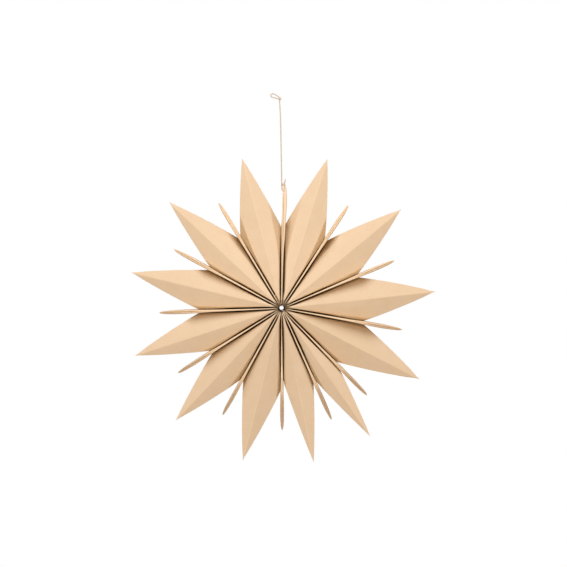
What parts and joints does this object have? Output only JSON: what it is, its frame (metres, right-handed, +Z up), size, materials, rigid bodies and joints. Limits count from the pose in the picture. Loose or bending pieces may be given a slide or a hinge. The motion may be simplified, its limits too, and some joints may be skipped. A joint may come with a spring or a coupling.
{
  "type": "paper star",
  "caption": "Hanging star of folded kraft paper: wide open sleeves with ridged petals, narrow closed leaves between them, and a knotted string with a loop",
  "frame": {"origin": "inside the string's hanging loop, where a hook or nail holds the star", "axes": "+Z up, the star's axis along Y, its front facing -Y, +X to the right as seen from the front"},
  "size_m": [0.448, 0.1286, 0.5441],
  "materials": {
    "kraft_paper": "natural uncoated kraft paper, pale brown, matte",
    "cotton_twine": "undyed twisted cotton twine, matte"
  },
  "bodies": {
    "root": {"wide_sleeve_01": "kraft_paper", "wide_sleeve_02": "kraft_paper", "wide_sleeve_03": "kraft_paper", "wide_sleeve_04": "kraft_paper", "wide_sleeve_05": "kraft_paper", "wide_sleeve_06": "kraft_paper", "wide_sleeve_07": "kraft_paper", "wide_sleeve_08": "kraft_paper", "wide_sleeve_09": "kraft_paper", "wide_sleeve_10": "kraft_paper", "wide_sleeve_11": "kraft_paper", "wide_sleeve_12": "kraft_paper", "narrow_leaf_01": "kraft_paper", "narrow_leaf_02": "kraft_paper", "narrow_leaf_03": "kraft_paper", "narrow_leaf_04": "kraft_paper", "narrow_leaf_05": "kraft_paper", "narrow_leaf_06": "kraft_paper", "narrow_leaf_07": "kraft_paper", "narrow_leaf_08": "kraft_paper", "narrow_leaf_09": "kraft_paper", "narrow_leaf_10": "kraft_paper", "narrow_leaf_11": "kraft_paper", "end_leaf_left": "kraft_paper", "end_leaf_right": "kraft_paper", "hanging_string": "cotton_twine", "tie_knot": "cotton_twine", "loop_knot": "cotton_twine"}
  },
  "joints": []
}
